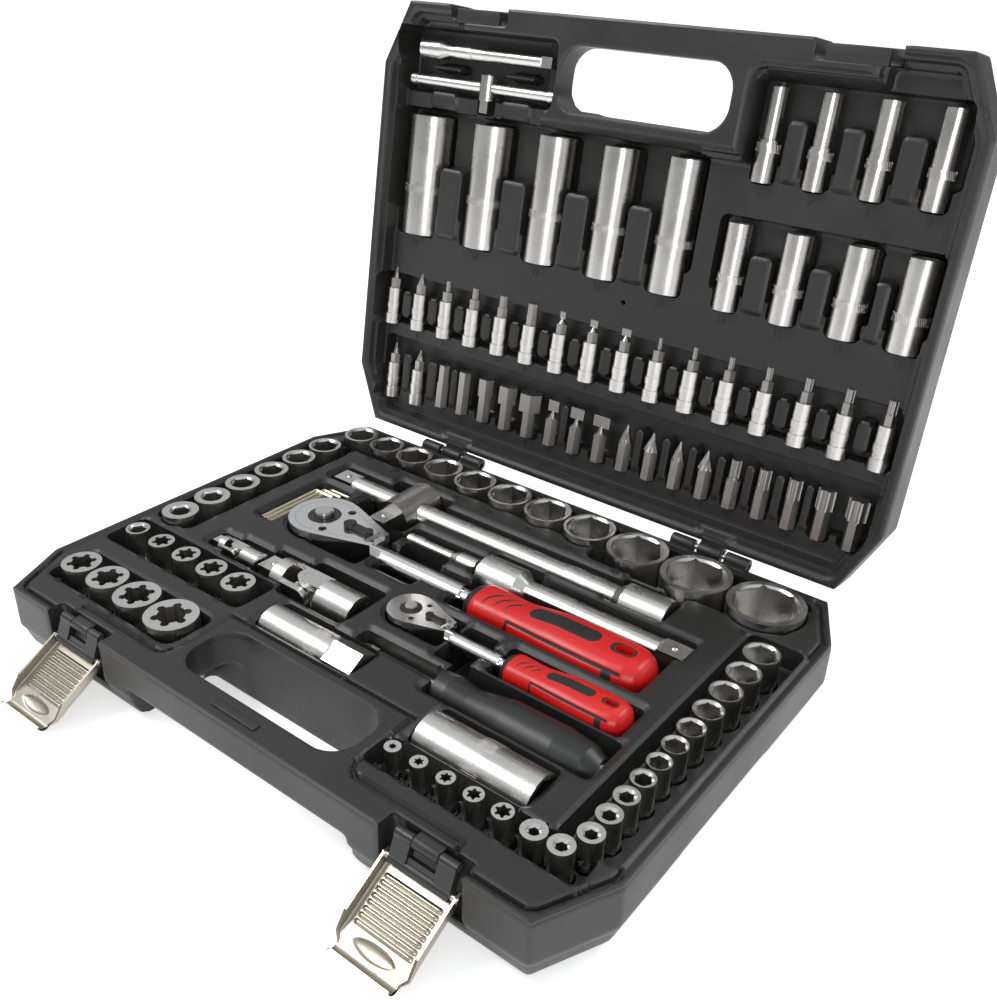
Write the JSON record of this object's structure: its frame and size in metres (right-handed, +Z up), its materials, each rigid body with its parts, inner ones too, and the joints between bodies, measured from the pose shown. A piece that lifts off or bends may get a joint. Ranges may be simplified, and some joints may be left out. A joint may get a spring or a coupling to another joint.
{
  "type": "socket wrench set in case",
  "caption": "Blow-moulded hinged case with two draw latches, holding ratchets, sockets, extensions, joints and bits in fitted trays.",
  "frame": {"origin": "centre of the case's flat underside", "axes": "+X right along the hinge, +Y back towards the hinge, +Z up; the lid stands open"},
  "size_m": [0.388, 0.4073, 0.323],
  "materials": {
    "case_plastic": "fine grained blow-moulded plastic",
    "satin_chrome": "satin chrome plating",
    "polished_chrome": "polished chrome plating",
    "latch_metal": "pressed plate, warm satin nickel",
    "latch_plastic": "smooth black plastic",
    "pin_steel": "drawn wire",
    "dark_steel": "black oxide steel",
    "red_grip": "satin red plastic",
    "black_rubber": "soft black overmould",
    "black_grip": "satin black plastic",
    "bit_steel": "satin grey bit steel",
    "key_gold": "pale zinc-yellow plating"
  },
  "bodies": {
    "case_base": {"case_base": "case_plastic", "hinge_pin_left": "pin_steel", "hinge_pin_right": "pin_steel", "latch_link_pins": "pin_steel", "side_sockets": "satin_chrome", "back_sockets": "satin_chrome", "quarter_sockets": "satin_chrome", "star_sockets": "satin_chrome", "bit_adapter": "satin_chrome"},
    "case_lid": {"case_lid": "case_plastic", "deep_half_sockets": "satin_chrome", "deep_quarter_sockets": "satin_chrome", "bit_sockets": "satin_chrome", "bit_socket_tips": "bit_steel", "loose_bits": "bit_steel"},
    "half_ratchet": {"half_ratchet_body": "polished_chrome", "half_ratchet_cover": "polished_chrome", "half_ratchet_cover_screws": "dark_steel", "half_ratchet_grip": "red_grip", "half_ratchet_grip_inlay": "black_rubber"},
    "half_ratchet_drive": {"half_ratchet_drive": "dark_steel"},
    "half_ratchet_button": {"half_ratchet_button": "satin_chrome"},
    "half_ratchet_lever": {"half_ratchet_lever": "dark_steel", "half_ratchet_pawl": "dark_steel"},
    "quarter_ratchet": {"quarter_ratchet_body": "polished_chrome", "quarter_ratchet_cover": "polished_chrome", "quarter_ratchet_cover_screws": "dark_steel", "quarter_ratchet_grip": "red_grip", "quarter_ratchet_grip_inlay": "black_rubber"},
    "quarter_ratchet_drive": {"quarter_ratchet_drive": "dark_steel"},
    "quarter_ratchet_button": {"quarter_ratchet_button": "satin_chrome"},
    "quarter_ratchet_lever": {"quarter_ratchet_lever": "dark_steel", "quarter_ratchet_pawl": "dark_steel"},
    "spinner": {"spinner_shaft": "satin_chrome", "spinner_grip": "black_grip", "spinner_end_socket": "satin_chrome"},
    "extension_250": {"extension_250": "satin_chrome"},
    "sliding_tee_head": {"sliding_tee_head": "satin_chrome"},
    "extension_125": {"extension_125": "satin_chrome"},
    "quarter_extension_50": {"quarter_extension_50": "satin_chrome"},
    "half_joint_drive_yoke": {"half_joint_drive_yoke": "satin_chrome"},
    "half_joint_cross": {"half_joint_cross": "satin_chrome"},
    "half_joint_socket_yoke": {"half_joint_socket_yoke": "satin_chrome"},
    "quarter_joint_drive_yoke": {"quarter_joint_drive_yoke": "satin_chrome"},
    "quarter_joint_cross": {"quarter_joint_cross": "satin_chrome"},
    "quarter_joint_socket_yoke": {"quarter_joint_socket_yoke": "satin_chrome"},
    "plug_socket_21": {"plug_socket_21": "satin_chrome", "plug_socket_21_insert": "black_rubber"},
    "plug_socket_16": {"plug_socket_16": "satin_chrome", "plug_socket_16_insert": "black_rubber"},
    "hex_keys": {"hex_keys": "key_gold"},
    "quarter_extension_100": {"quarter_extension_100": "satin_chrome"},
    "quarter_tee_bar": {"quarter_tee_bar": "satin_chrome"},
    "quarter_tee_slider": {"quarter_tee_slider": "satin_chrome"},
    "latch_link_left": {"latch_link_left": "latch_plastic", "latch_plate_pin_left": "pin_steel"},
    "latch_plate_left": {"latch_plate_left": "latch_metal"},
    "latch_link_right": {"latch_link_right": "latch_plastic", "latch_plate_pin_right": "pin_steel"},
    "latch_plate_right": {"latch_plate_right": "latch_metal"}
  },
  "joints": [
    {"name": "lid_hinge", "type": "hinge", "parent": "case_base", "child": "case_lid", "pos_m": [0, 0.1445, 0.042], "axis": [-1, 0, 0], "range_deg": [-99, 0]},
    {"name": "latch_link_left_hinge", "type": "hinge", "parent": "case_base", "child": "latch_link_left", "pos_m": [-0.12, -0.1338, 0.0375], "axis": [-1, 0, 0], "range_deg": [-10, 8]},
    {"name": "latch_plate_left_hinge", "type": "hinge", "parent": "latch_link_left", "child": "latch_plate_left", "pos_m": [-0.12, -0.13853, 0.02647], "axis": [1, 0, 0], "range_deg": [-130, 0]},
    {"name": "latch_link_right_hinge", "type": "hinge", "parent": "case_base", "child": "latch_link_right", "pos_m": [0.12, -0.1338, 0.0375], "axis": [-1, 0, 0], "range_deg": [-10, 8]},
    {"name": "latch_plate_right_hinge", "type": "hinge", "parent": "latch_link_right", "child": "latch_plate_right", "pos_m": [0.12, -0.13853, 0.02647], "axis": [1, 0, 0], "range_deg": [-130, 0]},
    {"name": "half_ratchet_lift", "type": "slide", "parent": "case_base", "child": "half_ratchet", "axis": [0, 0, 1], "range_m": [0, 0.06]},
    {"name": "half_ratchet_drive_turn", "type": "hinge", "parent": "half_ratchet", "child": "half_ratchet_drive", "pos_m": [-0.1, 0.022, 0.033], "axis": [0, 0, 1], "continuous": true},
    {"name": "half_ratchet_button_press", "type": "slide", "parent": "half_ratchet", "child": "half_ratchet_button", "axis": [0, 0, 1], "range_m": [-0.003, 0], "stiffness_N_per_m": 800},
    {"name": "half_ratchet_lever_turn", "type": "hinge", "parent": "half_ratchet", "child": "half_ratchet_lever", "pos_m": [-0.078, 0.022, 0.033], "axis": [0, 0, 1], "range_deg": [-12, 12]},
    {"name": "quarter_ratchet_lift", "type": "slide", "parent": "case_base", "child": "quarter_ratchet", "axis": [0, 0, 1], "range_m": [0, 0.05]},
    {"name": "quarter_ratchet_drive_turn", "type": "hinge", "parent": "quarter_ratchet", "child": "quarter_ratchet_drive", "pos_m": [0.006, -0.017, 0.037], "axis": [0, 0, 1], "continuous": true},
    {"name": "quarter_ratchet_button_press", "type": "slide", "parent": "quarter_ratchet", "child": "quarter_ratchet_button", "axis": [0, 0, 1], "range_m": [-0.0018, 0], "stiffness_N_per_m": 800},
    {"name": "quarter_ratchet_lever_turn", "type": "hinge", "parent": "quarter_ratchet", "child": "quarter_ratchet_lever", "pos_m": [0.0192, -0.017, 0.037], "axis": [0, 0, 1], "range_deg": [-12, 12]},
    {"name": "spinner_lift", "type": "slide", "parent": "case_base", "child": "spinner", "axis": [0, 0, 1], "range_m": [0, 0.05]},
    {"name": "extension_250_lift", "type": "slide", "parent": "case_base", "child": "extension_250", "axis": [0, 0, 1], "range_m": [0, 0.05]},
    {"name": "sliding_tee_head_slide", "type": "slide", "parent": "extension_250", "child": "sliding_tee_head", "axis": [1, 0, 0], "range_m": [-0.008, 0.008]},
    {"name": "extension_125_lift", "type": "slide", "parent": "case_base", "child": "extension_125", "axis": [0, 0, 1], "range_m": [0, 0.05]},
    {"name": "quarter_extension_50_lift", "type": "slide", "parent": "case_base", "child": "quarter_extension_50", "axis": [0, 0, 1], "range_m": [0, 0.04]},
    {"name": "half_joint_lift", "type": "slide", "parent": "case_base", "child": "half_joint_drive_yoke", "axis": [0, 0, 1], "range_m": [0, 0.045]},
    {"name": "half_joint_tilt", "type": "hinge", "parent": "half_joint_drive_yoke", "child": "half_joint_cross", "pos_m": [-0.06, -0.029, 0.033], "axis": [0, -1, 0], "range_deg": [0, 33]},
    {"name": "half_joint_swing", "type": "hinge", "parent": "half_joint_cross", "child": "half_joint_socket_yoke", "pos_m": [-0.06, -0.029, 0.033], "axis": [0, 0, 1], "range_deg": [-7, 7]},
    {"name": "quarter_joint_lift", "type": "slide", "parent": "case_base", "child": "quarter_joint_drive_yoke", "axis": [0, 0, 1], "range_m": [0, 0.045]},
    {"name": "quarter_joint_tilt", "type": "hinge", "parent": "quarter_joint_drive_yoke", "child": "quarter_joint_cross", "pos_m": [-0.118, -0.0315, 0.037], "axis": [0, -1, 0], "range_deg": [0, 33]},
    {"name": "quarter_joint_swing", "type": "hinge", "parent": "quarter_joint_cross", "child": "quarter_joint_socket_yoke", "pos_m": [-0.118, -0.0315, 0.037], "axis": [0, 0, 1], "range_deg": [-7, 7]},
    {"name": "plug_socket_21_lift", "type": "slide", "parent": "case_base", "child": "plug_socket_21", "axis": [0, 0, 1], "range_m": [0, 0.045]},
    {"name": "plug_socket_16_lift", "type": "slide", "parent": "case_base", "child": "plug_socket_16", "axis": [0, 0, 1], "range_m": [0, 0.045]},
    {"name": "hex_keys_lift", "type": "slide", "parent": "case_base", "child": "hex_keys", "axis": [0, 0, 1], "range_m": [0, 0.03]},
    {"name": "quarter_extension_100_lift", "type": "slide", "parent": "case_lid", "child": "quarter_extension_100", "axis": [0, -0.9877, 0.1564], "range_m": [0, 0.04]},
    {"name": "quarter_tee_bar_lift", "type": "slide", "parent": "case_lid", "child": "quarter_tee_bar", "axis": [0, -0.9877, 0.1564], "range_m": [0, 0.04]},
    {"name": "quarter_tee_slider_slide", "type": "slide", "parent": "quarter_tee_bar", "child": "quarter_tee_slider", "axis": [1, 0, 0], "range_m": [-0.0032, 0.0032]}
  ]
}
